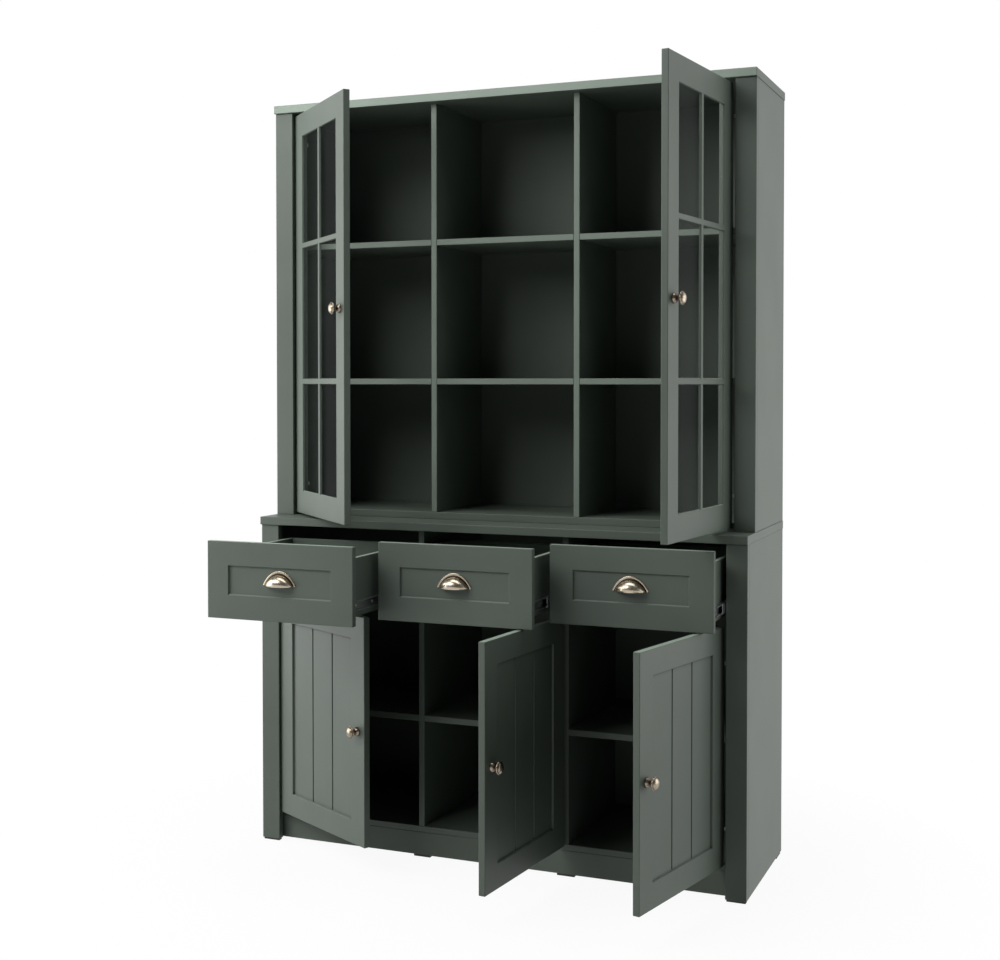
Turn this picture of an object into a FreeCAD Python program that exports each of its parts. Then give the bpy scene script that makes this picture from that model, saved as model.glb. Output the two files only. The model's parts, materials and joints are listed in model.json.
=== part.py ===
import FreeCAD, Part
import math
import os

# Buffet hutch: a base cabinet with three drawers over three doors, and a hutch of open shelves
# with two glazed doors.  Millimetres, +X to the right, +Y to the back, +Z up.
# The origin is on the floor, on the centre line, just behind the base posts' front faces.

# Overall sizes
overall_height = 1900.0
carcass_width = 1267.0
base_depth = 391.0
hutch_depth = 315.0
base_height = 836.0
origin_setback = 12.0
column_count = 3

# Boards
board = 15.0
top_thickness = 20.0
back_thickness = 3.0
post_width = 49.5
post_thickness = 18.0
edge_ease = 0.8
door_thickness = 16.0

# Overhangs and set-backs
worktop_front_overhang = 6.0
worktop_side_overhang = 1.0
top_front_overhang = 6.5
top_side_overhang = 1.5
board_setback = 24.0
partition_share = 0.15

# Plinth, floor and feet
floor_height = 77.5
pad_height = 5.0
pad_length = 45.0
pad_width = 13.0
pad_inset = 8.0

# Shelves
base_shelf_share = 0.504
hutch_floor_thickness = 18.0
lower_shelf_share = 0.3285
upper_shelf_share = 0.669
rest_length = 18.0
rest_height = 10.0
rest_stand = 9.0
rest_inset = 45.0

# Gaps round doors and drawers
reveal = 3.0
door_floor_lap = 3.0
drawer_top_gap = 7.0
drawer_front_height = 181.5
hutch_door_bottom_gap = 6.5
hutch_door_top_gap = 7.5
hutch_door_lap = 13.5

# Shaker fronts
front_frame = 58.0
recess_depth = 5.0
recess_draft = 2.0
groove_width = 5.0
groove_depth = 4.0
plank_count = 3

# Glazed doors
glass_frame = 60.0
glass_lip = 5.0
glass_rebate = 9.0
glass_thickness = 4.0
glass_clearance = 0.3
muntin_width = 15.0
opening_draft = 1.5

# Knobs
knob_radius = 15.0
knob_projection = 28.0
knob_flats = 20
# how far along the projection, and how wide against the rim, at each turned step
knob_profile_shares = ((0.0, 0.68), (0.09, 0.68), (0.14, 0.52), (0.22, 0.38), (0.36, 0.31), (0.48, 0.34),
                       (0.6, 0.6), (0.7, 0.98), (0.81, 1.0), (0.89, 0.88), (0.95, 0.64), (1.0, 0.3))

# Cup pulls
pull_half_width = 43.5
pull_height = 35.0
pull_projection = 27.0
pull_wall = 2.0
pull_flange = 5.5
pull_flange_thickness = 2.2
pull_drop = 98.0
pull_arch_flats = 16
pull_turn_flats = 6

# Concealed hinges
cup_radius = 17.5
cup_wall = 1.0
cup_depth = 13.0
cup_floor = 0.9
slot_clearance = 0.8
pin_seat = 3.0
cup_edge = 3.0
ear_length = 11.0
ear_lap = 6.0
ear_width = 14.0
ear_thickness = 1.2
hinge_pin_radius = 1.25
hinge_pin_depth = 6.5
post_pin_inset = 14.0
partition_pin_inset = 10.0
eye_radius = 2.4
eye_flats = 8
eye_clearance = 0.05
arm_thickness = 1.6
arm_height = 8.0
arm_clearance = 0.9
arm_plate_length = 24.0
arm_plate_offset = 3.0
arm_reach = 4.0
post_arm_angle = 149.4
partition_arm_angle = 156.4
base_hinge_inset = 85.0
hutch_hinge_inset = 75.0

# Drawer boxes
drawer_side = 12.0
drawer_box_top_drop = 29.0
drawer_box_lift = 18.0
drawer_box_length = 348.0
drawer_bottom = 5.0
drawer_bottom_lift = 10.0
drawer_groove = 6.0

# Telescopic drawer slides
slide_length = 340.0
slide_height = 27.0
slide_width = 12.7
slide_wall = 1.2
slide_clearance = 0.35
slide_lip = 9.5
slide_lift = 43.5
slide_start = 2.0
spacer_height = 50.0

# How far each front stands open
left_door_angle = 28.7
middle_door_angle = 83.6
right_door_angle = 77.0
left_glass_angle = 43.2
right_glass_angle = 83.7
left_drawer_open = 324.0
middle_drawer_open = 204.0
right_drawer_open = 100.5

overrun = 20.0

# Values that follow from those above
half_width = carcass_width / 2
partition_offset = carcass_width * partition_share
post_edge = half_width - post_width
side_face = half_width - board
hutch_front = base_depth - hutch_depth
back_face = base_depth - back_thickness
worktop_under = base_height - top_thickness
hutch_ceiling = overall_height - top_thickness
hutch_floor = base_height + hutch_floor_thickness
front_width = (2 * post_edge - (column_count + 1) * reveal) / column_count
front_pitch = front_width + reveal
drawer_front_top = worktop_under - drawer_top_gap
drawer_front_bottom = drawer_front_top - drawer_front_height
base_door_bottom = floor_height - door_floor_lap
base_door_height = drawer_front_bottom - reveal - base_door_bottom
hutch_door_bottom = base_height + hutch_door_bottom_gap
hutch_door_height = hutch_ceiling - hutch_door_top_gap - hutch_door_bottom
hutch_door_edge = partition_offset + board / 2 - hutch_door_lap
hutch_door_width = post_edge - reveal - hutch_door_edge
base_shelf_height = floor_height + base_shelf_share * (drawer_front_bottom - floor_height)
lower_shelf_height = hutch_floor + lower_shelf_share * (hutch_ceiling - hutch_floor)
upper_shelf_height = hutch_floor + upper_shelf_share * (hutch_ceiling - hutch_floor)
pull_foot = drawer_front_top - pull_drop
slide_centre = drawer_front_bottom + slide_lift

parts = {}


def vector(x, y, z):
    return FreeCAD.Vector(x, y, z)


def box(x0, x1, y0, y1, z0, z1):
    return Part.makeBox(x1 - x0, y1 - y0, z1 - z0, vector(x0, y0, z0))


def eased_board(x0, x1, y0, y1, z0, z1):
    # a board with its edges broken
    plain = box(x0, x1, y0, y1, z0, z1)
    return plain.makeChamfer(edge_ease, plain.Edges)


def mirrored(shape):
    return shape.mirror(vector(0, 0, 0), vector(1, 0, 0))


def prism(points, height):
    # an upright prism over a closed outline
    outline = Part.makePolygon(points + [points[0]])
    return Part.Face(outline).extrude(vector(0, 0, height))


def tapered_pocket(x0, x1, z0, z1, depth, draft):
    # a cutter for a recess in the face y = 0, wider at the mouth by the draft on each side
    def rim(y, grow):
        corners = [vector(x0 - grow, y, z0 - grow), vector(x1 + grow, y, z0 - grow),
                   vector(x1 + grow, y, z1 + grow), vector(x0 - grow, y, z1 + grow)]
        return Part.makePolygon(corners + [corners[0]])
    return Part.makeLoft([rim(0, draft), rim(depth, 0)], True, True)


def strip(points, thickness, height, foot):
    # a bent flat strip along a line in plan, with mitred bends
    half = thickness / 2
    left = []
    right = []
    for index, point in enumerate(points):
        before = points[max(index - 1, 0)]
        after = points[min(index + 1, len(points) - 1)]
        first = (point - before) if index > 0 else (after - point)
        second = (after - point) if index < len(points) - 1 else first
        first.normalize()
        second.normalize()
        across = vector(-first.y - second.y, first.x + second.x, 0)
        across.normalize()
        reach = half / (across.dot(vector(-first.y, first.x, 0)))
        left.append(point + across * reach)
        right.append(point - across * reach)
    outline = left + right[::-1]
    lifted = [vector(p.x, p.y, foot) for p in outline]
    return prism(lifted, height)


# Base carcass
def base_side():
    return eased_board(side_face, half_width, post_thickness, base_depth, pad_height, worktop_under)


def base_post():
    return eased_board(post_edge, half_width, 0, post_thickness, pad_height, worktop_under)


def shelf_rests():
    # small blocks on the board faces, front and back, that carry the shelves
    inner = partition_offset - board / 2
    outer = partition_offset + board / 2
    head = base_shelf_height - board
    rests = []
    for middle in (board_setback + rest_inset, back_face - rest_inset):
        for face, way in ((side_face, -1), (outer, 1), (inner, -1)):
            stand = face + way * rest_stand
            rest = box(min(face, stand), max(face, stand), middle - rest_length / 2, middle + rest_length / 2,
                       head - rest_height, head)
            rests.append(rest)
            rests.append(mirrored(rest))
    return Part.makeCompound(rests)


def base_shelf(x0, x1):
    return eased_board(x0, x1, board_setback, back_face, base_shelf_height - board, base_shelf_height)


def floor_pad(x, y, length_x, length_y):
    return eased_board(x - length_x / 2, x + length_x / 2, y - length_y / 2, y + length_y / 2, 0, pad_height)


def floor_pads():
    # pads under both posts, under the backs of both sides, and under the plinth below each partition
    post = floor_pad(half_width - post_width / 2, post_thickness / 2, pad_length, pad_width)
    side = floor_pad(half_width - board / 2, base_depth - pad_inset - pad_length / 2, pad_width, pad_length)
    plinth = floor_pad(partition_offset, board_setback + board / 2, pad_length, pad_width)
    pads = [post, side, plinth]
    return Part.makeCompound(pads + [mirrored(pad) for pad in pads])


def build_base():
    parts["base_right_side"] = base_side()
    parts["base_left_side"] = mirrored(base_side())
    parts["base_right_post"] = base_post()
    parts["base_left_post"] = mirrored(base_post())
    parts["base_bottom"] = eased_board(-side_face, side_face, board_setback, back_face,
                                       floor_height - board, floor_height)
    parts["base_plinth"] = eased_board(-side_face, side_face, board_setback, board_setback + board,
                                       pad_height, floor_height - board)
    for name, sign in (("base_right_partition", 1), ("base_left_partition", -1)):
        middle = sign * partition_offset
        parts[name] = eased_board(middle - board / 2, middle + board / 2, board_setback, back_face,
                                  floor_height, worktop_under)
    parts["base_back"] = box(-side_face, side_face, back_face, base_depth,
                             floor_height - board, worktop_under)
    inner = partition_offset - board / 2
    outer = partition_offset + board / 2
    parts["base_shelves"] = Part.makeCompound([base_shelf(-side_face, -outer), base_shelf(-inner, inner),
                                               base_shelf(outer, side_face)])
    parts["shelf_rests"] = shelf_rests()
    worktop_half = half_width + worktop_side_overhang
    parts["worktop"] = eased_board(-worktop_half, worktop_half, -worktop_front_overhang, base_depth,
                                   worktop_under, base_height)
    parts["floor_pads"] = floor_pads()
    spacer = box(post_edge, side_face, post_thickness, post_thickness + slide_length,
                 slide_centre - spacer_height / 2, slide_centre + spacer_height / 2)
    parts["slide_spacers"] = Part.makeCompound([spacer, mirrored(spacer)])


# Hutch carcass
def build_hutch():
    side = eased_board(side_face, half_width, hutch_front + post_thickness, base_depth,
                       base_height, hutch_ceiling)
    post = eased_board(post_edge, half_width, hutch_front, hutch_front + post_thickness,
                       base_height, hutch_ceiling)
    parts["hutch_right_side"] = side
    parts["hutch_left_side"] = mirrored(side)
    parts["hutch_right_post"] = post
    parts["hutch_left_post"] = mirrored(post)
    front = hutch_front + board_setback
    parts["hutch_bottom"] = eased_board(-side_face, side_face, front, back_face, base_height, hutch_floor)
    for name, sign in (("hutch_right_partition", 1), ("hutch_left_partition", -1)):
        middle = sign * partition_offset
        parts[name] = eased_board(middle - board / 2, middle + board / 2, front, back_face,
                                  hutch_floor, hutch_ceiling)
    top_half = half_width + top_side_overhang
    parts["hutch_top"] = eased_board(-top_half, top_half, hutch_front - top_front_overhang, base_depth,
                                     hutch_ceiling, overall_height)
    parts["hutch_back"] = box(-side_face, side_face, back_face, base_depth, base_height, hutch_ceiling)
    inner = partition_offset - board / 2
    outer = partition_offset + board / 2
    for name, height in (("hutch_lower_shelves", lower_shelf_height),
                         ("hutch_upper_shelves", upper_shelf_height)):
        row = [eased_board(x0, x1, front, back_face, height - board, height)
               for x0, x1 in ((-side_face, -outer), (-inner, inner), (outer, side_face))]
        parts[name] = Part.makeCompound(row)


# Fronts.  Each is drawn with its hinge edge at x = 0, its front face at y = 0 and its foot at z = 0.
def shaker_slab(width, height):
    slab = eased_board(0, width, 0, door_thickness, 0, height)
    pocket = tapered_pocket(front_frame, width - front_frame, front_frame, height - front_frame,
                            recess_depth, recess_draft)
    return slab.cut(pocket)


def plank_grooves(width, height):
    panel = width - 2 * front_frame
    cutters = []
    for index in range(1, plank_count):
        middle = front_frame + panel * index / plank_count
        points = [vector(middle - groove_width / 2, recess_depth, front_frame),
                  vector(middle + groove_width / 2, recess_depth, front_frame),
                  vector(middle, recess_depth + groove_depth, front_frame)]
        cutters.append(prism(points, height - 2 * front_frame))
    return cutters


def cup_bore(height):
    centre = vector(cup_edge + cup_radius, door_thickness - cup_depth, height)
    return Part.makeCylinder(cup_radius, cup_depth + overrun, centre, vector(0, 1, 0))


def hinge_cup(pin_inset_from_edge, height):
    # the cup sunk in the door's back, slotted for the arm, with two screw ears and the arm's pin
    across = cup_edge + cup_radius
    back = door_thickness
    floor = back - cup_depth + cup_floor
    cup = Part.makeCylinder(cup_radius, cup_depth, vector(across, back - cup_depth, height), vector(0, 1, 0))
    slot_half = arm_height / 2 + slot_clearance
    slot_reach = math.sqrt((cup_radius - cup_wall) ** 2 - slot_half ** 2)
    slot = box(across - slot_reach, across + slot_reach, floor, back + overrun,
               height - slot_half, height + slot_half)
    cup = cup.cut(slot)
    for way in (1, -1):
        inner_end = height + way * (cup_radius - ear_lap)
        outer_end = height + way * (cup_radius + ear_length)
        ear = box(across - ear_width / 2, across + ear_width / 2, back, back + ear_thickness,
                  min(inner_end, outer_end), max(inner_end, outer_end))
        cup = cup.fuse(ear)
    pin_half = slot_half + pin_seat
    pin = Part.makeCylinder(hinge_pin_radius, 2 * pin_half,
                            vector(pin_inset_from_edge, hinge_pin_depth, height - pin_half))
    return cup.fuse(pin).removeSplitter()


def slab_door(width, height, hinge_heights):
    door = shaker_slab(width, height)
    for cutter in plank_grooves(width, height):
        door = door.cut(cutter)
    for place in hinge_heights:
        door = door.cut(cup_bore(place))
    return door


def glass_panes(width, height, shelf_lines):
    # the six openings: two columns, and rows that follow the shelf lines
    columns = [(glass_frame, (width - muntin_width) / 2), ((width + muntin_width) / 2, width - glass_frame)]
    edges = [glass_frame]
    for line in shelf_lines:
        edges.append(line - muntin_width)
        edges.append(line)
    edges.append(height - glass_frame)
    rows = list(zip(edges[0::2], edges[1::2]))
    return [(x0, x1, z0, z1) for x0, x1 in columns for z0, z1 in rows]


def glass_door_frame(width, height, shelf_lines, hinge_heights):
    frame = eased_board(0, width, 0, door_thickness, 0, height)
    for x0, x1, z0, z1 in glass_panes(width, height, shelf_lines):
        frame = frame.cut(tapered_pocket(x0, x1, z0, z1, glass_lip, opening_draft))
    inset = glass_frame - glass_rebate
    frame = frame.cut(box(inset, width - inset, glass_lip, door_thickness + overrun, inset, height - inset))
    for place in hinge_heights:
        frame = frame.cut(cup_bore(place))
    return frame


def glass_sheet(width, height):
    inset = glass_frame - glass_rebate + glass_clearance
    return box(inset, width - inset, glass_lip, glass_lip + glass_thickness, inset, height - inset)


def face_on(corners):
    return Part.Face(Part.makePolygon(corners + [corners[0]]))


def faceted(rings):
    # a solid of flat faces between rings of corners; a ring of one corner is a point
    faces = []
    for near, far in zip(rings, rings[1:]):
        count = max(len(near), len(far))
        for index in range(count):
            after = (index + 1) % count
            corners = [near[index], near[after]] if len(near) > 1 else [near[0]]
            corners += [far[after], far[index]] if len(far) > 1 else [far[0]]
            faces.append(face_on(corners))
    faces += [face_on(ring) for ring in (rings[0], rings[-1]) if len(ring) > 1]
    solid = Part.Solid(Part.Shell(faces))
    if solid.Volume < 0:
        solid.reverse()
    return solid


def knob(x, z):
    # a turned knob in flats: flared foot, waisted neck, broad rim and low dome
    def step(along, wide):
        turns = [2 * math.pi * index / knob_flats for index in range(knob_flats)]
        radius = wide * knob_radius
        out = -along * knob_projection
        return [vector(x + radius * math.cos(turn), out, z + radius * math.sin(turn)) for turn in turns]
    return faceted([step(along, wide) for along, wide in knob_profile_shares])


def arch(half, high):
    # a half ellipse in flats, as pairs of sideways place and distance from its foot line
    turns = [math.pi * index / pull_arch_flats for index in range(pull_arch_flats + 1)]
    return [(half * math.cos(turn), high * math.sin(turn)) for turn in turns]


def quarter_dome(half, high):
    # an arch turned a quarter round its foot line, from upright to straight forward
    def section(along, radius):
        tips = [math.pi / 2 * index / pull_turn_flats for index in range(pull_turn_flats + 1)]
        rim = [vector(along, -radius * math.sin(tip), radius * math.cos(tip)) for tip in tips]
        return [vector(along, 0, 0)] + rim
    stations = arch(half, high)
    sections = [section(along, radius) for along, radius in stations[1:-1]]
    return faceted([[vector(half, 0, 0)]] + sections + [[vector(-half, 0, 0)]])


def cup_pull(x, z):
    # a half-round shell open below, on a flat arched flange
    dome_half = pull_half_width - pull_flange
    corners = [vector(along, 0, out) for along, out in arch(pull_half_width, pull_height)]
    plate = face_on(corners).extrude(vector(0, -pull_flange_thickness, 0))
    hollow = quarter_dome(dome_half - pull_wall, pull_projection - pull_wall)
    pull = quarter_dome(dome_half, pull_projection).fuse(plate).cut(hollow)
    return pull.removeSplitter().translate(vector(x, 0, z))


def placed(shape, hand, edge_x, front_y, foot_z):
    # hand 1: hinge edge on the right; hand -1: hinge edge on the left
    turned = mirrored(shape) if hand > 0 else shape.copy()
    turned.translate(vector(edge_x, front_y, foot_z))
    return turned


def door_axis(hand, edge_x, front_y, pin_inset_from_edge):
    return vector(edge_x - hand * pin_inset_from_edge, front_y + hinge_pin_depth, 0)


def swung(shape, hand, axis, degrees):
    turned = shape.copy()
    turned.rotate(axis, vector(0, 0, 1), hand * degrees)
    return turned


# Hinge arms.  Plan points are measured from the pin, x towards the hinge edge and y to the back.
def arm_start(degrees):
    mouth = door_thickness - hinge_pin_depth
    turn = math.radians(degrees)
    reach = mouth / math.sin(turn) + arm_reach
    return vector(reach * math.cos(turn), reach * math.sin(turn), 0)


def arm_back(pin_inset_from_edge):
    corner = math.hypot(pin_inset_from_edge, door_thickness - hinge_pin_depth)
    return corner + arm_thickness / 2 + arm_clearance


def finished_arm(points):
    arm = strip(points, arm_thickness, arm_height, -arm_height / 2)
    turns = [2 * math.pi * index / eye_flats for index in range(eye_flats)]
    corners = [vector(eye_radius * math.cos(turn), eye_radius * math.sin(turn), -arm_height / 2)
               for turn in turns]
    eye = prism(corners, arm_height)
    bore = Part.makeCylinder(hinge_pin_radius + eye_clearance, arm_height + 2 * overrun,
                             vector(0, 0, -arm_height / 2 - overrun))
    return arm.fuse(eye).cut(bore).removeSplitter()


def post_arm():
    start = arm_start(post_arm_angle)
    back = arm_back(post_pin_inset)
    plate_y = post_thickness - hinge_pin_depth + arm_thickness / 2
    plate_x = post_pin_inset + reveal + arm_plate_offset
    drop = back - plate_y
    points = [vector(0, 0, 0), start, vector(start.x + arm_reach, back, 0), vector(plate_x - drop, back, 0),
              vector(plate_x, plate_y, 0), vector(plate_x + arm_plate_length, plate_y, 0)]
    return finished_arm(points)


def partition_arm(wall_x):
    start = arm_start(partition_arm_angle)
    plate_x = wall_x - arm_thickness / 2
    plate_y = board_setback - hinge_pin_depth + 2 * arm_plate_offset
    points = [vector(0, 0, 0), start, vector(start.x + arm_reach, plate_y - arm_plate_offset, 0),
              vector(plate_x, plate_y, 0), vector(plate_x, plate_y + arm_plate_length, 0)]
    return finished_arm(points)


# The five doors: name, hinge hand, hinge edge, front plane, foot, width, height, how far it stands open
base_edge = post_edge - reveal
hutch_feet = (hutch_door_bottom, hutch_door_width, hutch_door_height)
base_feet = (base_door_bottom, front_width, base_door_height)
middle_edge = front_width / 2
doors = {
    "left_door": (-1, -base_edge, 0, base_feet, post_pin_inset, left_door_angle),
    "middle_door": (1, middle_edge, 0, base_feet, partition_pin_inset, middle_door_angle),
    "right_door": (1, base_edge, 0, base_feet, post_pin_inset, right_door_angle),
    "left_glass_door": (-1, -base_edge, hutch_front, hutch_feet, post_pin_inset, left_glass_angle),
    "right_glass_door": (1, base_edge, hutch_front, hutch_feet, post_pin_inset, right_glass_angle),
}


def hinge_places(glazed, height):
    inset = hutch_hinge_inset if glazed else base_hinge_inset
    return (inset, height - inset)


def build_door(name):
    hand, edge_x, front_y, (foot_z, width, height), inset, opened = doors[name]
    glazed = "glass" in name
    axis = door_axis(hand, edge_x, front_y, inset)
    places = hinge_places(glazed, height)
    pieces = {}
    if glazed:
        lines = (lower_shelf_height - foot_z, upper_shelf_height - foot_z)
        pieces["frame"] = glass_door_frame(width, height, lines, places)
        pieces["glass"] = glass_sheet(width, height)
        pieces["knob"] = knob(width - glass_frame / 2, height / 2)
    else:
        pieces["panel"] = slab_door(width, height, places)
        pieces["knob"] = knob(width - front_frame / 2, height / 2)
    pieces["hinge_cups"] = Part.makeCompound([hinge_cup(inset, place) for place in places])
    for piece, shape in pieces.items():
        closed = placed(shape, hand, edge_x, front_y, foot_z)
        parts[name + "_" + piece] = swung(closed, hand, axis, opened)
    arms = []
    for place in places:
        if inset == partition_pin_inset:
            arm = partition_arm(partition_offset - board / 2 - axis.x)
        else:
            arm = post_arm()
        arm = arm if hand > 0 else mirrored(arm)
        arms.append(arm.translate(vector(axis.x, axis.y, foot_z + place)))
    return arms


def build_doors():
    arms = []
    for name in doors:
        arms.extend(build_door(name))
    parts["hinge_arms"] = Part.makeCompound(arms)


# The three drawers: name, column, the two faces that carry its slides, how far it stands open
drawers = {
    "left_drawer": (-1, -post_edge, -partition_offset - board / 2, left_drawer_open),
    "middle_drawer": (0, -partition_offset + board / 2, partition_offset - board / 2, middle_drawer_open),
    "right_drawer": (1, partition_offset + board / 2, post_edge, right_drawer_open),
}


def channel(face_x, way, web_at, lip_at, half_height):
    # a slide member: a channel along the drawer's travel, its web and its lip measured from the mounting face
    y0 = board_setback + slide_start
    low = min(face_x + way * web_at, face_x + way * lip_at)
    high = max(face_x + way * web_at, face_x + way * lip_at)
    block = box(low, high, y0, y0 + slide_length, slide_centre - half_height, slide_centre + half_height)
    turn_in = slide_wall if lip_at > web_at else -slide_wall
    hollow_low = min(face_x + way * (web_at + turn_in), face_x + way * (lip_at + turn_in))
    hollow_high = max(face_x + way * (web_at + turn_in), face_x + way * (lip_at + turn_in))
    hollow = box(hollow_low, hollow_high, y0 - overrun, y0 + slide_length + overrun,
                 slide_centre - half_height + slide_wall, slide_centre + half_height - slide_wall)
    return block.cut(hollow)


def slide_members(face_x, way):
    step = slide_wall + slide_clearance
    half = slide_height / 2
    fixed = channel(face_x, way, 0, slide_lip, half)
    middle = channel(face_x, way, step, step + slide_lip, half - step)
    running = channel(face_x, way, slide_width, 2 * step, half - 2 * step)
    return fixed, middle, running


def drawer_box(left_x, right_x):
    foot = drawer_front_bottom + drawer_box_lift
    head = drawer_front_top - drawer_box_top_drop
    rear = door_thickness + drawer_box_length
    bottom_z = foot + drawer_bottom_lift
    inner_left = left_x + drawer_side
    inner_right = right_x - drawer_side
    bottom = box(inner_left - drawer_groove, inner_right + drawer_groove, door_thickness, rear,
                 bottom_z, bottom_z + drawer_bottom)
    sides = [eased_board(left_x, inner_left, door_thickness, rear, foot, head).cut(bottom),
             eased_board(inner_right, right_x, door_thickness, rear, foot, head).cut(bottom)]
    back = eased_board(inner_left, inner_right, rear - drawer_side, rear, bottom_z + drawer_bottom, head)
    return Part.makeCompound(sides + [back, bottom])


def build_drawer(name):
    column, left_face, right_face, opened = drawers[name]
    pull = vector(0, -opened, 0)
    half_pull = vector(0, -opened / 2, 0)
    centre = column * front_pitch
    front = shaker_slab(front_width, drawer_front_height)
    front.translate(vector(centre - front_width / 2, 0, drawer_front_bottom))
    parts[name + "_front"] = front.translate(pull)
    case = drawer_box(left_face + slide_width, right_face - slide_width)
    parts[name + "_box"] = case.translate(pull)
    handle = cup_pull(centre, pull_foot).translate(vector(0, recess_depth, 0))
    parts[name + "_cup_pull"] = handle.translate(pull)
    left = slide_members(left_face, 1)
    right = slide_members(right_face, -1)
    parts[name + "_middle_rails"] = Part.makeCompound([left[1], right[1]]).translate(half_pull)
    parts[name + "_inner_rails"] = Part.makeCompound([left[2], right[2]]).translate(pull)
    return [left[0], right[0]]


def build_drawers():
    fixed = []
    for name in drawers:
        fixed.extend(build_drawer(name))
    parts["cabinet_rails"] = Part.makeCompound(fixed)


def main():
    build_base()
    build_hutch()
    build_doors()
    build_drawers()
    os.makedirs("parts", exist_ok=True)
    for name, shape in parts.items():
        shape.translate(vector(0, -origin_setback, 0))
        shape.exportStep("parts/" + name + ".step")
    print(len(parts), "nodes")


main()
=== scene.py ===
import json
import math

import bmesh
import bpy
import numpy as np
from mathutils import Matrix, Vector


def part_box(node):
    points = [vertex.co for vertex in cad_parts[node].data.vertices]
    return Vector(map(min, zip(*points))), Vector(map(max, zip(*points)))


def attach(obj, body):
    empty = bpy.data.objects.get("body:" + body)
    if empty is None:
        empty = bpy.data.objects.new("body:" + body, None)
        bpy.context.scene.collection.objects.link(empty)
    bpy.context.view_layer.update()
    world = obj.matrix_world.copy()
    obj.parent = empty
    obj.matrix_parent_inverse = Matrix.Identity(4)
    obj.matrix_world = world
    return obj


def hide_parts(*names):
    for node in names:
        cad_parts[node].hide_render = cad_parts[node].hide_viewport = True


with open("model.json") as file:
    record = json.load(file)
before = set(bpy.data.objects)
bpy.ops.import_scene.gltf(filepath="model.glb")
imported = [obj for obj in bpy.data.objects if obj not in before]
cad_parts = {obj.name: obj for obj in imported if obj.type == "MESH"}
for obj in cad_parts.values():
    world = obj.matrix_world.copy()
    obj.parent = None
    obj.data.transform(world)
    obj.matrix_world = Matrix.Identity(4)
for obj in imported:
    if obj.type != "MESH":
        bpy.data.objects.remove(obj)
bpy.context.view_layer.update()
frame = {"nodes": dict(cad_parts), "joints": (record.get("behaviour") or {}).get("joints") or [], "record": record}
nodes = frame["nodes"]
print("frame loaded:", len(nodes), "nodes")


# shader helpers

def newMaterial(name):
    material = bpy.data.materials.new(name)
    material.use_nodes = True
    tree = material.node_tree
    return material, tree, tree.nodes["Principled BSDF"]


def addNode(tree, kind, **settings):
    # a node with its sockets and options set by name
    node = tree.nodes.new(kind)
    for key, value in settings.items():
        if key in node.inputs:
            node.inputs[key].default_value = value
        else:
            setattr(node, key, value)
    return node


def objectNoise(tree, scale, detail, stretch=(1, 1, 1)):
    # noise on Object coordinates: waves per metre, octaves, and less than one for an axis to stretch it along
    place = addNode(tree, "ShaderNodeTexCoord")
    mapping = addNode(tree, "ShaderNodeMapping", Scale=stretch)
    noise = addNode(tree, "ShaderNodeTexNoise", Scale=scale, Detail=detail)
    tree.links.new(place.outputs["Object"], mapping.inputs["Vector"])
    tree.links.new(mapping.outputs["Vector"], noise.inputs["Vector"])
    return noise.outputs["Fac"]


mottle = (0.3, 0.7)   # noise values where a mottled colour is darkest and lightest


def rampOf(tree, value, dark, light, places=mottle):
    # a colour that goes from dark to light as the value goes from the first place to the second
    ramp = addNode(tree, "ShaderNodeValToRGB")
    for element, place, colour in zip(ramp.color_ramp.elements, places, (dark, light)):
        element.position = place
        element.color = (*colour, 1)
    tree.links.new(value, ramp.inputs["Fac"])
    return ramp.outputs["Color"]


def rangeOf(tree, value, low, high, start=0.0, end=1.0):
    # a number that goes from low to high as the value goes from start to end
    spread = addNode(tree, "ShaderNodeMapRange")
    for socket, number in zip(("From Min", "From Max", "To Min", "To Max"), (start, end, low, high)):
        spread.inputs[socket].default_value = number
    tree.links.new(value, spread.inputs["Value"])
    return spread.outputs["Result"]


def mathOf(tree, operation, first, second):
    node = addNode(tree, "ShaderNodeMath", operation=operation)
    for socket, value in zip(node.inputs, (first, second)):
        if isinstance(value, (int, float)):
            socket.default_value = value
        else:
            tree.links.new(value, socket)
    return node.outputs["Value"]


def blendOf(tree, factor, first, second):
    # first where factor is nought, second where it is one
    apart = mathOf(tree, "SUBTRACT", second, first)
    return mathOf(tree, "ADD", first, mathOf(tree, "MULTIPLY", apart, factor))


def shadeBy(tree, colour, share):
    # a colour times a number that differs from place to place
    scaled = addNode(tree, "ShaderNodeVectorMath", operation="SCALE")
    tree.links.new(colour, scaled.inputs[0])
    tree.links.new(share, scaled.inputs["Scale"])
    return scaled.outputs["Vector"]


def coatOf(tree, shader, colour, rough):
    tree.links.new(colour, shader.inputs["Base Color"])
    tree.links.new(rough, shader.inputs["Roughness"])


edgeSamples = 4   # rays that round an edge in the shading


def bumpOf(tree, shader, height, strength, depth, rounding=None):
    # fine relief, over edges that shade as if rounded where a radius is given
    bump = addNode(tree, "ShaderNodeBump", Strength=strength, Distance=depth)
    tree.links.new(height, bump.inputs["Height"])
    if rounding:
        eased = addNode(tree, "ShaderNodeBevel", samples=edgeSamples, Radius=rounding)
        tree.links.new(eased.outputs["Normal"], bump.inputs["Normal"])
    tree.links.new(bump.outputs["Normal"], shader.inputs["Normal"])


# finishes: a noise is given as waves per metre and octaves, a bump as strength and depth in metres

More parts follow.
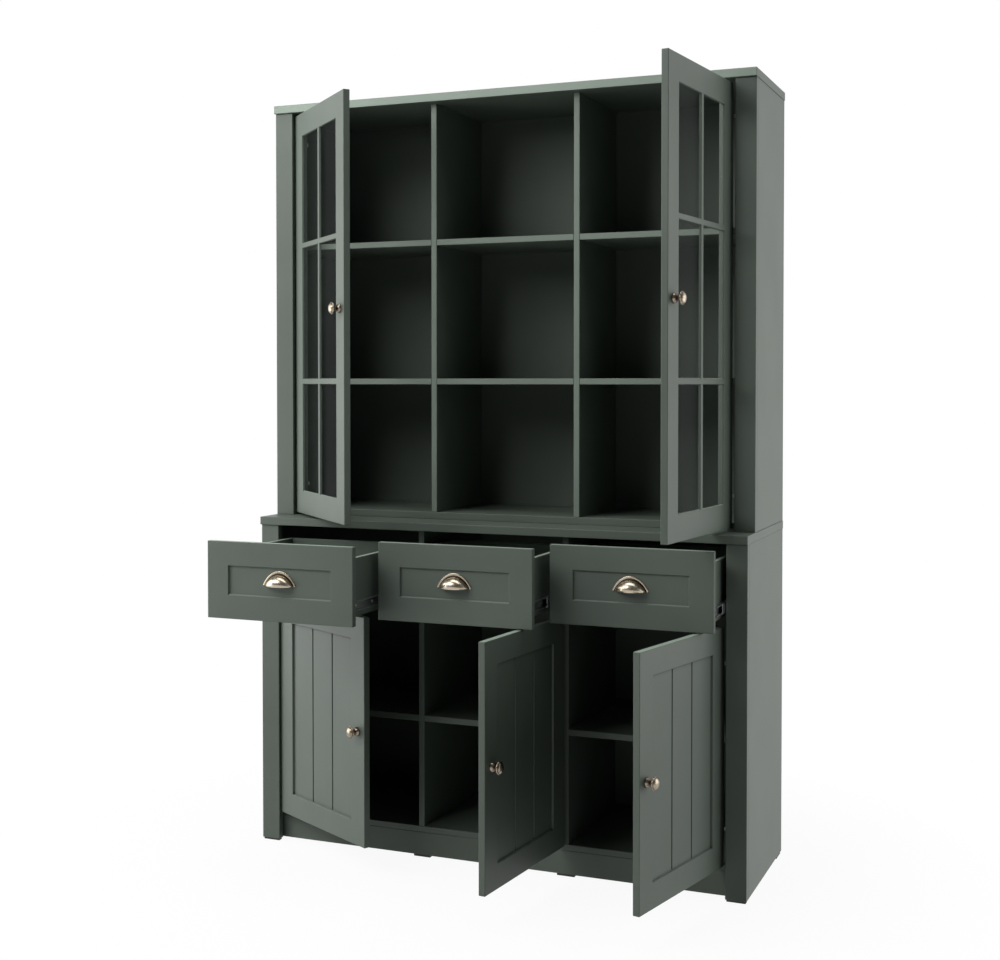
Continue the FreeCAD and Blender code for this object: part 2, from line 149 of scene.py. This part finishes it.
paint = {
    "dark": (0.095, 0.117, 0.097),
    "light": (0.111, 0.136, 0.113),
    "rough": (0.40, 0.50),
    "specular": 0.35,
    "cloud": (5.0, 4),            # slow drift in colour
    "peel": (420.0, 2),           # roller texture of the topcoat
    "peelBump": (0.25, 0.00012),
    "edgeRound": 0.002,
    "highlightFrom": 0.90,             # how squarely a face looks the highlight's way before it is painted lighter
    "shadeReach": 0.011,
    "shadeRays": 6,
    "shadeDarkest": 0.12,          # colour left where the painted shade is darkest, deep in a groove
    "shadeOpen": (0.50, 0.93),   # how open a place is where the painted shade starts and ends
}


def paintFinish(name, shade=1.0, dull=0.0, highlightWay=None, highlightGain=1.0, paintGrooveShade=False):
    # satin topcoat: a slow drift in colour, a fine roller texture in gloss and bump, faces that look the
    # highlight's way painted lighter as a painted highlight, grooves darkened as a painted shade
    material, tree, shader = newMaterial(name)
    dark, light = ([shade * part for part in paint[key]] for key in ("dark", "light"))
    colour = rampOf(tree, objectNoise(tree, *paint["cloud"]), dark, light)
    # painted highlight: faces that look the given way are painted lighter, standing in for the light that falls on
    # them
    if highlightWay:
        square = addNode(tree, "ShaderNodeVectorMath", operation="DOT_PRODUCT")
        square.inputs[1].default_value = highlightWay
        tree.links.new(addNode(tree, "ShaderNodeTexCoord").outputs["Normal"], square.inputs[0])
        share = rangeOf(tree, square.outputs["Value"], 1.0, highlightGain, paint["highlightFrom"], 1.0)
        colour = shadeBy(tree, colour, share)
    # painted shade: grooves and the edges of recessed panels are darkened by how hemmed in they are
    if paintGrooveShade:
        shadeMask = addNode(tree, "ShaderNodeAmbientOcclusion", only_local=True, samples=paint["shadeRays"],
                         Distance=paint["shadeReach"])
        share = rangeOf(tree, shadeMask.outputs["AO"], paint["shadeDarkest"], 1.0, *paint["shadeOpen"])
        colour = shadeBy(tree, colour, share)
    peel = objectNoise(tree, *paint["peel"])
    low, high = paint["rough"]
    coatOf(tree, shader, colour, rangeOf(tree, peel, low + dull, high + dull))
    shader.inputs["Specular IOR Level"].default_value = paint["specular"]
    bumpOf(tree, shader, peel, *paint["peelBump"], paint["edgeRound"])
    return material


brassLook = {
    "bright": (0.52, 0.45, 0.35),
    "aged": (0.085, 0.065, 0.046),
    "rough": (0.22, 0.34),
    "patina": (160.0, 5),
    "patinaShare": 0.5,        # how much the patina's spots add to the wear
    "wornAt": (0.35, 0.95),    # sums of the two where the metal is all aged and all bright
    "bump": (0.12, 0.0002),
}


def brassFinish():
    # aged brass: polished where it stands proud, brown in the hollows by the piece's own wear attribute
    material, tree, shader = newMaterial("agedBrass")
    wear = addNode(tree, "ShaderNodeAttribute", attribute_name="wear").outputs["Fac"]
    spots = objectNoise(tree, *brassLook["patina"])
    worn = mathOf(tree, "ADD", mathOf(tree, "MULTIPLY", spots, brassLook["patinaShare"]), wear)
    colour = rampOf(tree, worn, brassLook["aged"], brassLook["bright"], brassLook["wornAt"])
    coatOf(tree, shader, colour, rangeOf(tree, spots, *brassLook["rough"]))
    shader.inputs["Metallic"].default_value = 1.0
    bumpOf(tree, shader, spots, *brassLook["bump"])
    return material


steelLook = {
    # dark, light, and the stretch of the streaks
    "nickel": ((0.24, 0.24, 0.23), (0.38, 0.38, 0.36), (1, 1, 0.1)),
    "zinc": ((0.44, 0.45, 0.46), (0.62, 0.63, 0.65), (1, 0.02, 1)),
    "rough": (0.24, 0.42),
    "drawn": (700.0, 3),
}


def steelFinish(name):
    # plated sheet: streaks drawn along one direction
    material, tree, shader = newMaterial(name)
    dark, light, stretch = steelLook[name]
    streaks = objectNoise(tree, *steelLook["drawn"], stretch)
    coatOf(tree, shader, rampOf(tree, streaks, dark, light), rangeOf(tree, streaks, *steelLook["rough"]))
    shader.inputs["Metallic"].default_value = 1.0
    return material


glassLook = {
    "dark": (0.03, 0.045, 0.038),
    "light": (0.05, 0.07, 0.06),
    "rough": (0.015, 0.03),
    "ripple": (3.0, 2),
    "refraction": 1.45,
    "body": 0.055,        # share of the light that the sheet itself stops
}


def glassFinish():
    # clear float glass: see-through but for a faint green body and its gloss
    material, tree, shader = newMaterial("clearGlass")
    ripple = objectNoise(tree, *glassLook["ripple"])
    colour = rampOf(tree, ripple, glassLook["dark"], glassLook["light"])
    coatOf(tree, shader, colour, rangeOf(tree, ripple, *glassLook["rough"]))
    shader.inputs["IOR"].default_value = glassLook["refraction"]
    shader.inputs["Alpha"].default_value = glassLook["body"]
    return material


plasticLook = {
    "dark": (0.012, 0.012, 0.012),
    "light": (0.02, 0.02, 0.02),
    "rough": (0.45, 0.6),
    "grain": (900.0, 2),
    "bump": (0.3, 0.0002),
}


def plasticFinish():
    # moulded black plastic with a spark-eroded grain
    material, tree, shader = newMaterial("blackPlastic")
    grain = objectNoise(tree, *plasticLook["grain"])
    colour = rampOf(tree, grain, plasticLook["dark"], plasticLook["light"])
    coatOf(tree, shader, colour, rangeOf(tree, grain, *plasticLook["rough"]))
    bumpOf(tree, shader, grain, *plasticLook["bump"])
    return material


highlightUp, highlightFront = (0, 0, 1), (0, -1, 0)   # the ways of faces painted lighter, a painted highlight for light from above and from the front
finishes = {
    "painted_green": paintFinish("paintedGreen"),
    "back_board": paintFinish("backBoard", shade=0.9, dull=0.12),
    # the drawer boxes' up-facing faces are painted lighter, a painted highlight
    "drawer_board": paintFinish("drawerBoard", shade=0.9, dull=0.08, highlightWay=highlightUp, highlightGain=3.2),
    "antique_brass": brassFinish(),
    "nickel_steel": steelFinish("nickel"),
    "zinc_steel": steelFinish("zinc"),
    "clear_glass": glassFinish(),
    "black_plastic": plasticFinish(),
}
highlitFinishes = {
    # boards whose top or front faces are painted lighter than their other faces, a painted highlight, by the ends
    # of their nodes' names
    ("hutch_top",): paintFinish("highlitTop", highlightWay=highlightFront, highlightGain=2.6),
    ("hutch_lower_shelves", "hutch_upper_shelves", "hutch_left_partition", "hutch_right_partition"):
        paintFinish("highlitShelf", highlightWay=highlightFront, highlightGain=1.7),
    ("drawer_front", "door_frame"): paintFinish("highlitFront", highlightWay=highlightUp, highlightGain=3.2),
    # the base doors' grooves and recess edges take a painted shade as well as the painted highlight
    ("door_panel",): paintFinish("highlitGrooveShadedFront", highlightWay=highlightUp, highlightGain=3.2, paintGrooveShade=True),
}
for part in frame["record"]["subparts"]:
    finish = finishes[part["material_slot"]]
    for ends, highlitFinish in highlitFinishes.items():
        if part["node"].endswith(ends):
            finish = highlitFinish
    slots = nodes[part["node"]].data.materials
    slots.clear()
    slots.append(finish)
print("finishes on every node")


# numpy surfaces

def cornersOf(name):
    # the points of a node's mesh, at rest
    mesh = nodes[name].data
    flat = np.empty(len(mesh.vertices) * 3)
    mesh.vertices.foreach_get("co", flat)
    return flat.reshape(-1, 3)


def gridFaces(rows, columns, wrap):
    # quads of a rows by columns grid of points, joined round the columns if wrap
    reach = columns if wrap else columns - 1
    row, column = np.meshgrid(np.arange(rows - 1), np.arange(reach), indexing="ij")
    after = (column + 1) % columns
    quads = np.stack([row * columns + column, row * columns + after,
                      (row + 1) * columns + after, (row + 1) * columns + column], axis=-1)
    return quads.reshape(-1, 4)


def bandFaces(rows, columns):
    # a section of so many rows carried along so many columns: its sides, its open side closed, and a face on
    # each end
    starts = np.arange(rows) * columns
    along = np.arange(columns - 1)
    closing = np.stack([along + 1, along, along + starts[-1], along + 1 + starts[-1]], axis=1)
    ends = [starts.tolist(), (starts[::-1] + columns - 1).tolist()]
    return gridFaces(rows, columns, False).tolist() + closing.tolist() + ends


def smoothLine(stops, count):
    # Catmull-Rom curve through the stops, sampled evenly in its parameter
    stops = np.asarray(stops, float)
    ends = np.vstack([2 * stops[0] - stops[1], stops, 2 * stops[-1] - stops[-2]])
    t = np.linspace(0, len(stops) - 1, count)
    i = np.minimum(t.astype(int), len(stops) - 2)
    f = (t - i)[:, None]
    a, b, c, d = (ends[i + k] for k in range(4))
    square, cube = 2 * a - 5 * b + 4 * c - d, 3 * b - a - 3 * c + d
    return 0.5 * (2 * b + (c - a) * f + square * f ** 2 + cube * f ** 3)


def turnsOf(count):
    # angles once round, the last one short of the first
    return np.linspace(0, 2 * np.pi, count, endpoint=False)


def addObject(name, data):
    thing = bpy.data.objects.new(name, data)
    bpy.context.scene.collection.objects.link(thing)
    return thing


mergeGap = 0.000002   # metres; points closer than this are one


def addPiece(name, points, faces, slotName, body, wear=None):
    # a grid of points as one mesh: doubles at poles and seams are merged, faces turned outwards
    mesh = bpy.data.meshes.new(name)
    mesh.from_pydata(points.reshape(-1, 3).tolist(), [], [list(face) for face in faces])
    if wear is not None:   # one number for each row of the grid
        worn = np.repeat(wear, points.shape[1]).astype(np.float32)
        mesh.attributes.new("wear", "FLOAT", "POINT").data.foreach_set("value", worn)
    shape = bmesh.new()
    shape.from_mesh(mesh)
    bmesh.ops.remove_doubles(shape, verts=shape.verts, dist=mergeGap)
    bmesh.ops.recalc_face_normals(shape, faces=shape.faces)
    shape.to_mesh(mesh)
    shape.free()
    mesh.polygons.foreach_set("use_smooth", np.ones(len(mesh.polygons), bool))
    mesh.validate()
    mesh.materials.append(finishes[slotName])
    piece = addObject(name, mesh)
    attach(piece, body)
    return piece


# the way each front faces at rest, from its joint

def facing(joint):
    # rows for outward, sideways and up: a closed front looks along -Y, and its hinge's range starts at minus
    # the angle that it stands open
    turn = -math.radians(joint["range_deg"][0]) * joint["axis"][2] if joint["type"] == "hinge" else 0.0
    return np.array([(math.sin(turn), -math.cos(turn), 0), (math.cos(turn), math.sin(turn), 0), (0, 0, 1)])


fronts = {j["child"]: facing(j) for j in frame["joints"] if not j["child"].endswith("_rails")}
doorNames = [name for name in fronts if "door" in name]
drawerNames = [name for name in fronts if "drawer" in name]


def spanOf(places, body):
    # lowest, middle and highest of some points, measured outward, sideways and up from a front
    measured = places @ fronts[body].T
    low, high = measured.min(0), measured.max(0)
    return low, (low + high) / 2, high


def onFront(body, outward, sideways, upward):
    # the points that have such measures
    return np.stack(np.broadcast_arrays(outward, sideways, upward), axis=-1) @ fronts[body]


# knobs

knobTurning = {
    # how far out and how wide, as shares of the CAD knob's projection and radius
    "steps": [(0.0, 0.0), (0.0, 0.60), (0.0, 0.72), (0.04, 0.75), (0.11, 0.74), (0.18, 0.69), (0.26, 0.58),
              (0.34, 0.43), (0.40, 0.33), (0.46, 0.29), (0.53, 0.33), (0.57, 0.56), (0.62, 0.88),
              (0.68, 0.99), (0.73, 1.0), (0.77, 0.95), (0.79, 0.86), (0.82, 0.82), (0.88, 0.73),
              (0.94, 0.54), (0.985, 0.28), (1.0, 0.0)],
    "wearAt": [0, 0.05, 0.16, 0.28, 0.36, 0.54, 0.62, 0.74, 0.79, 0.84, 1],   # shares of the projection
    "wear": [0.30, 0.45, 0.40, 0.20, 0.0, 0.0, 0.25, 0.50, 0.05, 0.38, 0.45],
    "rings": 130,
    "around": 64,
}


def makeKnob(body):
    # surface of revolution: height and radius follow one smooth profile, turned round the outward axis
    k = knobTurning
    node = body + "_knob"
    low, middle, high = spanOf(cornersOf(node), body)
    line = smoothLine(k["steps"], k["rings"])
    line[[0, -1], 1] = 0.0
    height = np.maximum(line[:, :1], 0) * (high - low)[0]
    radius = np.maximum(line[:, 1:], 0) * (high - low)[1] / 2
    turn = turnsOf(k["around"])
    sideways, upward = radius * np.cos(turn), radius * np.sin(turn)
    points = onFront(body, low[0] + height, middle[1] + sideways, middle[2] + upward)
    wear = np.interp(line[:, 0], k["wearAt"], k["wear"])
    faces = gridFaces(len(line), len(turn), True)
    piece = addPiece(body + "KnobTurned", points, faces, "antique_brass", body, wear)
    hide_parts(node)


for body in doorNames:
    makeKnob(body)
print("knobs turned:", len(doorNames))


# cup pulls

pullCast = {
    "half": 0.0365,         # half width of the cup at its mouth
    "high": 0.026,
    "out": 0.026,           # how far it stands out
    "wall": 0.0018,
    "lipRound": 0.0009,
    "lipTurn": 14.0,        # degrees that the lip is turned under
    "archPower": 1.6,       # of the arch seen from the front: one is an ellipse, two a parabola
    "mouthPower": 1.15,     # the same for the mouth seen from below
    "wearAt": [0, 0.06, 0.15, 1],     # shares of the way from the back plate to the lip
    "wear": [0.0, 0.15, 0.65, 0.75],
    "lipWear": 0.7,
    "insideWear": 0.2,
    "alongSteps": 72,
    "turnSteps": 40,
    "lipSteps": 5,
}


def makePull(body):
    # the cup: an arch, half width times cos and height times a power of sin, swung out by the sin and down
    # by the cos of a turn that goes a little past level, so that the lip tucks under and ends at the foot
    p = pullCast
    node = body + "_cup_pull"
    low, middle = spanOf(cornersOf(node), body)[:2]
    foot = low[0], middle[1], low[2]
    phi = np.linspace(0, np.pi, p["alongSteps"])
    lipAngle = math.radians(90 + p["lipTurn"])
    turn = np.linspace(0, lipAngle, p["turnSteps"])
    lip = np.linspace(0, np.pi, p["lipSteps"] + 2)[1:-1]
    zero = np.zeros_like(turn)
    # row by row: down the outside, round the lip and up the inside
    angle = np.concatenate([turn, np.full(len(lip), lipAngle), turn[::-1]])[:, None]
    inset = np.concatenate([zero, p["wall"] * (1 - np.cos(lip)) / 2, zero + p["wall"]])[:, None]
    tip = np.concatenate([zero, p["lipRound"] * np.sin(lip), zero])[:, None]
    rise = (np.cos(angle) - math.cos(lipAngle)) / (1 - math.cos(lipAngle))
    sideways = (p["half"] - inset) * np.cos(phi)
    upward = (p["high"] - inset) * rise * np.sin(phi) ** p["archPower"] - tip
    outward = (p["out"] - inset) * np.sin(angle) * np.sin(phi) ** p["mouthPower"]
    points = onFront(body, foot[0] + outward, foot[1] + sideways, foot[2] + upward)
    outside = np.interp(np.linspace(0, 1, len(turn)), p["wearAt"], p["wear"])
    wear = np.concatenate([outside, np.full(len(lip), p["lipWear"]), zero + p["insideWear"]])
    faces = bandFaces(len(angle), len(phi))
    piece = addPiece(body + "PullCup", points, faces, "antique_brass", body, wear)
    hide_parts(node)
    makeFlange(body, foot)


flangeCast = {
    "half": 0.0432,
    "high": 0.0345,
    "thick": 0.0028,
    "under": 1.5,          # how many of the cup's walls it reaches in under the cup
    # share across the band and share of the thickness, once round the section
    "section": [(0.0, 0.0), (0.0, 0.25), (0.05, 0.35), (0.40, 0.35), (0.48, 0.45), (0.52, 0.80), (0.60, 1.0),
                (0.80, 1.0), (0.95, 0.85), (1.0, 0.5), (1.0, 0.0)],
    "sectionSteps": 61,
    "wearAt": [0, 0.45, 0.54, 0.6, 1.0],     # shares across the band
    "wear": [0.0, 0.0, 0.3, 0.75, 0.7],
}


def makeFlange(body, foot):
    # the back plate: a rounded section carried along the cup's arch, each point on an arch of its own size
    p, f = pullCast, flangeCast
    phi = np.linspace(0, np.pi, p["alongSteps"])
    inner = np.array([p["half"], p["high"]]) - f["under"] * p["wall"]
    outer = np.array([f["half"], f["high"]])
    line = np.clip(smoothLine(f["section"], f["sectionSteps"]), 0.0, 1.0)
    size = inner + line[:, :1] * (outer - inner)
    sideways = size[:, :1] * np.cos(phi)
    upward = size[:, 1:] * np.sin(phi) ** p["archPower"]
    outward = line[:, 1:] * f["thick"]
    points = onFront(body, foot[0] + outward, foot[1] + sideways, foot[2] + upward)
    wear = np.interp(line[:, 0], f["wearAt"], f["wear"])
    addPiece(body + "PullFlange", points, bandFaces(len(line), len(phi)), "antique_brass", body, wear)


for body in drawerNames:
    makePull(body)
print("cup pulls cast:", len(drawerNames))


# screws in the hinge cups' ears

screwHead = {
    "radius": 0.0038,
    "rise": 0.0012,
    "flatten": 0.9,         # one would bring the dome's rim down to its seat
    "fromEnd": 0.005,       # from the end of an ear
    "crossHalf": 0.0021,
    "crossWide": 0.0009,
    "crossDeep": 0.0009,
    "rings": 41,
    "ringPower": 0.8,       # under one, the rings crowd towards the rim
    "around": 48,
}


def hingeCups(body):
    # the points of a door's lower and upper hinge cups
    places = cornersOf(body + "_hinge_cups")
    middle = (places[:, 2].min() + places[:, 2].max()) / 2
    return {"Lower": places[places[:, 2] < middle], "Upper": places[places[:, 2] > middle]}


def makeScrew(name, body, back, sideways, high):
    # countersunk head: a low dome over a disc, a cross pressed in where |u| or |v| is small, closed below
    s = screwHead
    reach = np.linspace(0, 1, s["rings"])[:, None] ** s["ringPower"]
    turn = turnsOf(s["around"])
    u, v = s["radius"] * reach * np.cos(turn), s["radius"] * reach * np.sin(turn)
    dome = s["rise"] * np.sqrt(1 - s["flatten"] * reach ** 2)
    inCross = (np.abs(u) < s["crossWide"] / 2) & (np.abs(v) < s["crossHalf"])
    inCross |= (np.abs(v) < s["crossWide"] / 2) & (np.abs(u) < s["crossHalf"])
    height = np.where(inCross, dome - s["crossDeep"], dome)
    height[-1] = 0.0
    u, v, height = (np.vstack([rows, np.zeros(len(turn))]) for rows in (u, v, height))
    points = onFront(body, back - height, sideways + u, high - v)
    addPiece(name, points, gridFaces(len(height), len(turn), True), "nickel_steel", body)


def earScrews(body):
    # each cup's two ears end at its highest and lowest points, on the door's back
    for label, cup in hingeCups(body).items():
        low, middle, high = spanOf(cup, body)
        for end, place in (("Foot", low[2] + screwHead["fromEnd"]), ("Head", high[2] - screwHead["fromEnd"])):
            makeScrew(body + label + end + "Screw", body, low[0], middle[1], place)


for body in doorNames:
    earScrews(body)
print("hinge screws in")


# small heads: nails through the backs, screws in the slides and hinge arms

studHead = {
    # width and rise round the lens-shaped head, as shares of its radius and rise; closed below and above
    "profile": np.array([(0.0, 0.0), (1.0, 0.0), (0.97, 0.35), (0.75, 0.78), (0.35, 0.97), (0.0, 1.0)]),
    "around": 12,
    "nail": (0.0024, 0.0006),     # radius, rise
    "screw": (0.0036, 0.0011),
}


def addStuds(name, seats, axis, size, slotName, body):
    # surface of revolution of one lens profile round a level axis, set at every seat, all in one mesh
    side = np.cross(axis, (0, 0, 1))
    turn = turnsOf(studHead["around"])[:, None]
    ring = np.cos(turn) * side + np.sin(turn) * np.cross(axis, side)
    wide, high = (studHead["profile"] * size).T[..., None, None]
    points = np.array(seats)[:, None, None] + wide * ring + high * np.array(axis)
    faces = gridFaces(len(wide), len(turn), True)
    starts = np.arange(len(seats)) * len(wide) * len(turn)
    addPiece(name, points, (faces + starts[:, None, None]).reshape(-1, 4), slotName, body)


nailRows = {
    "pitch": 0.15,
    "ends": (0.03, 0.015),     # along a rail: room before the first nail, and at least this after the last
    "feet": (0.06, 0.015),     # the same up an upright
    "apart": 0.05,             # an upright's nails keep this far from a rail's
}


def backNails(board, rails, uprights):
    # rows of nails where a thin back lies on the boards' rear edges
    n = nailRows
    low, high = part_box(board)
    span = np.arange(low[0] + n["ends"][0], high[0] - n["ends"][1], n["pitch"])
    climb = np.arange(low[2] + n["feet"][0], high[2] - n["feet"][1], n["pitch"])
    seats = []
    for rail in rails:
        bottom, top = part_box(rail)
        height = (bottom[2] + top[2]) / 2
        seats += [(x, high[1], height) for x in span]
        climb = climb[np.abs(climb - height) > n["apart"]]
    for upright in uprights:
        left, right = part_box(upright)
        seats += [((left[0] + right[0]) / 2, high[1], z) for z in climb]
    addStuds(board + "Nails", seats, (0, 1, 0), studHead["nail"], "zinc_steel", "carcass")


slideSeats = {
    "shares": (0.05, 0.28, 0.6, 0.93),   # places along an inner rail
    "web": 0.0012,                       # thickness of the rail under the heads
}


def slideScrews(body):
    # heads inside each inner rail's channel, on the web that lies on the drawer's side
    low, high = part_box(body + "_inner_rails")
    boxLow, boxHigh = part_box(body + "_box")
    along = low[1] + np.array(slideSeats["shares"]) * (high[1] - low[1])
    middle = (low[2] + high[2]) / 2
    for label, way, face in (("Left", -1, boxLow[0]), ("Right", 1, boxHigh[0])):
        seats = [(face + way * slideSeats["web"], y, middle) for y in along]
        name = body + label + "SlideScrews"
        addStuds(name, seats, (way, 0, 0), studHead["screw"], "zinc_steel", body)


armSeats = {
    "insets": (0.006, 0.018),   # from the end of a hinge arm
    "reach": 0.1,               # all of an arm is this near to its cup
    "deep": 0.03,               # an arm longer than this from front to back runs along a partition
}


def armScrews(body):
    # two heads near the end of each bent arm, on the side away from the board that carries it
    first, insets = armSeats["insets"][0], np.array(armSeats["insets"])
    arms = cornersOf("hinge_arms")
    for label, cup in hingeCups(body).items():
        centre = (cup.min(0) + cup.max(0)) / 2
        arm = arms[np.linalg.norm(arms - centre, axis=1) < armSeats["reach"]]
        low, high = arm.min(0), arm.max(0)
        height = (low[2] + high[2]) / 2
        if high[1] - low[1] > armSeats["deep"]:
            end = arm[arm[:, 1] > high[1] - first]
            seats = [(end[:, 0].min(), y, height) for y in high[1] - insets]
            way = (-1, 0, 0)
        else:
            outward = np.sign(centre[0])
            reach = (outward * arm[:, 0]).max()
            end = arm[outward * arm[:, 0] > reach - first]
            seats = [(x, end[:, 1].max(), height) for x in outward * (reach - insets)]
            way = (0, 1, 0)
        addStuds(body + label + "ArmScrews", seats, way, studHead["screw"], "nickel_steel", "carcass")


backNails("hutch_back", ("hutch_bottom", "hutch_lower_shelves", "hutch_upper_shelves"),
          ("hutch_left_partition", "hutch_right_partition"))
backNails("base_back", ("base_bottom", "base_shelves"), ("base_left_partition", "base_right_partition"))
for body in drawerNames:
    slideScrews(body)
for body in doorNames:
    armScrews(body)
print("nails and screws set")


# floor, light and camera

stageLook = {
    "floorSize": 30.0,
    "floorRough": 0.9,
    "floorBounce": 0.40,        # grey of the floor for the light that it throws back
    "floorSeen": 0.95,          # its grey under the plain white that is seen
    "nearWhite": 0.93,          # share of plain white that is seen on the floor beside the object
    "fade": (0.6, 1.3),         # metres from the middle where the floor starts to turn plain white, and is
    "ambient": (0.015, 0.07),   # light from the dark front of the room and from its pale back
    "mirrored": (0.12, 1.0),    # the same, as gloss and glass see it
    "roomDepth": (-0.3, 0.6),   # how far back a direction points where the dark ends and the pale starts
}


def looksOf(tree):
    # one where the camera looks, one where gloss or glass looks; nought for the light that falls on things
    path = addNode(tree, "ShaderNodeLightPath")
    mirrored = mathOf(tree, "MAXIMUM", path.outputs["Is Glossy Ray"], path.outputs["Is Transmission Ray"])
    return path.outputs["Is Camera Ray"], mirrored


def makeFloor():
    # a plain square: grey for the light that falls on it, nearly white to the camera, gloss and glass
    s = stageLook
    half = s["floorSize"] / 2
    corners = [(-half, -half, 0), (half, -half, 0), (half, half, 0), (-half, half, 0)]
    mesh = bpy.data.meshes.new("floor")
    mesh.from_pydata(corners, [], [(0, 1, 2, 3)])
    material, tree, shader = newMaterial("paleFloor")
    looked = mathOf(tree, "MAXIMUM", *looksOf(tree))
    tree.links.new(blendOf(tree, looked, s["floorBounce"], s["floorSeen"]), shader.inputs["Base Color"])
    shader.inputs["Roughness"].default_value = s["floorRough"]
    shader.inputs["Specular IOR Level"].default_value = 0.0
    far = addNode(tree, "ShaderNodeVectorMath", operation="LENGTH")
    tree.links.new(addNode(tree, "ShaderNodeTexCoord").outputs["Object"], far.inputs[0])
    white = rangeOf(tree, far.outputs["Value"], s["nearWhite"], 1.0, *s["fade"])
    glow = addNode(tree, "ShaderNodeEmission", Strength=1.0)
    blend = addNode(tree, "ShaderNodeMixShader")
    tree.links.new(mathOf(tree, "MULTIPLY", looked, white), blend.inputs["Fac"])
    tree.links.new(shader.outputs["BSDF"], blend.inputs[1])
    tree.links.new(glow.outputs["Emission"], blend.inputs[2])
    tree.links.new(blend.outputs["Shader"], tree.nodes["Material Output"].inputs["Surface"])
    mesh.materials.append(material)
    addObject("floor", mesh)


def makeWorld():
    # a room with a pale back and a dark front; the camera itself sees plain white all round
    s = stageLook
    world = bpy.data.worlds.new("studio")
    bpy.context.scene.world = world
    world.use_nodes = True
    tree = world.node_tree
    back = tree.nodes["Background"]
    back.inputs["Color"].default_value = (1, 1, 1, 1)
    way = addNode(tree, "ShaderNodeSeparateXYZ")
    tree.links.new(addNode(tree, "ShaderNodeTexCoord").outputs["Generated"], way.inputs["Vector"])
    seen, mirrored = looksOf(tree)
    light = rangeOf(tree, way.outputs["Y"], *s["ambient"], *s["roomDepth"])
    mirror = rangeOf(tree, way.outputs["Y"], *s["mirrored"], *s["roomDepth"])
    strength = blendOf(tree, seen, blendOf(tree, mirrored, light, mirror), 1.0)
    tree.links.new(strength, back.inputs["Strength"])


lamps = {
    # place, aim, width, height, watts
    "leftSoftbox": ((-2.8, -0.9, 1.2), (0.0, -0.1, 1.0), 2.6, 2.6, 74),
    "leftTopSoftbox": ((-1.5, -2.2, 2.85), (0.0, 0.0, 1.1), 2.2, 1.8, 64),
    "rightBackSoftbox": ((2.9, 0.9, 1.1), (0.5, 0.1, 1.0), 2.4, 2.6, 41),
    "rightSoftbox": ((3.0, -0.5, 1.2), (0.5, -0.1, 1.0), 2.0, 2.6, 8),
    "overhead": ((0.0, -0.3, 3.7), (0.0, -0.25, 0.8), 2.6, 1.2, 36),
}


def makeLamp(name, place, aim, width, height, watts):
    # a softbox, turned so that its own -Z looks at the aim
    data = bpy.data.lights.new(name, "AREA")
    data.shape = "RECTANGLE"
    data.size = width
    data.size_y = height
    data.energy = watts
    lamp = addObject(name, data)
    lamp.visible_camera = False
    lamp.location = place
    x, y, z = np.subtract(aim, place)
    lamp.rotation_euler = (math.pi / 2 + math.atan2(z, math.hypot(x, y)), 0, math.atan2(-x, y))


photoView = {
    "place": (1.3536, -3.2134, 1.1813),
    "yaw": 22.01,          # degrees to the left of straight on
    "pitch": -1.33,
    "focalPixels": 1443.5,
    "centrePixel": (511.1, 415.9),
    "imageSize": (1000, 960),
    "sensor": 36.0,        # millimetres
}


def makeCamera():
    # the photograph's pinhole view: its focal length and centre, in pixels, as lens and shift
    v = photoView
    wide, high = v["imageSize"]
    data = bpy.data.cameras.new("photoCamera")
    data.sensor_fit = "HORIZONTAL"
    data.sensor_width = v["sensor"]
    data.lens = v["sensor"] * v["focalPixels"] / wide
    data.shift_x = (wide / 2 - v["centrePixel"][0]) / wide
    data.shift_y = (v["centrePixel"][1] - high / 2) / wide
    camera = addObject("photoCamera", data)
    camera.location = v["place"]
    camera.rotation_euler = (math.pi / 2 + math.radians(v["pitch"]), 0, math.radians(v["yaw"]))
    bpy.context.scene.camera = camera


makeFloor()
makeWorld()
for name, lamp in lamps.items():
    makeLamp(name, *lamp)
makeCamera()
bpy.context.scene.view_settings.view_transform = "Standard"
print("stage, lamps and camera set")
